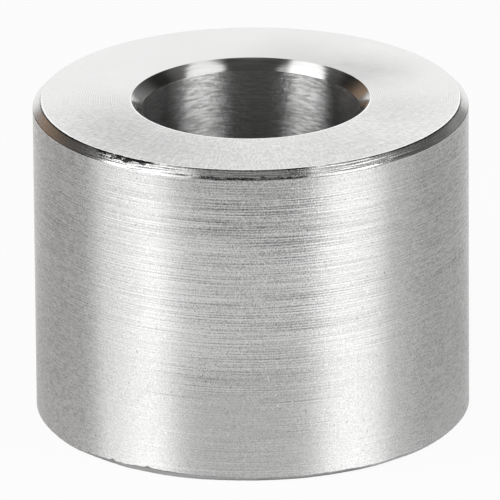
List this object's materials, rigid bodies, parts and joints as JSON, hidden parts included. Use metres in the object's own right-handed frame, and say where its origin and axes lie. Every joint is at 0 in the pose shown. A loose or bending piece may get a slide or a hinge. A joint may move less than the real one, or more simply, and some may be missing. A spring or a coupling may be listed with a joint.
{
  "type": "shaft collar",
  "caption": "Solid turned steel collar that slides on a round shaft and is locked by a radial cup-point set screw with a hexagon socket.",
  "frame": {"origin": "centre of the bore at the lower, parted-off end face", "axes": "+Z along the bore axis, towards the faced end with the wider outer chamfer; +Y out through the set screw's hole"},
  "size_m": [0.04, 0.04, 0.03],
  "materials": {
    "turned_steel": "bright turned, fine tool marks round the axis",
    "black_oxide_steel": "black oxide, lightly oiled"
  },
  "bodies": {
    "ring": {"collar_ring": "turned_steel"},
    "screw": {"set_screw": "black_oxide_steel"}
  },
  "joints": [
    {"name": "screw_travel", "type": "slide", "parent": "ring", "child": "screw", "axis": [0, -1, 0], "range_m": [-0.005, 0.00125]}
  ]
}
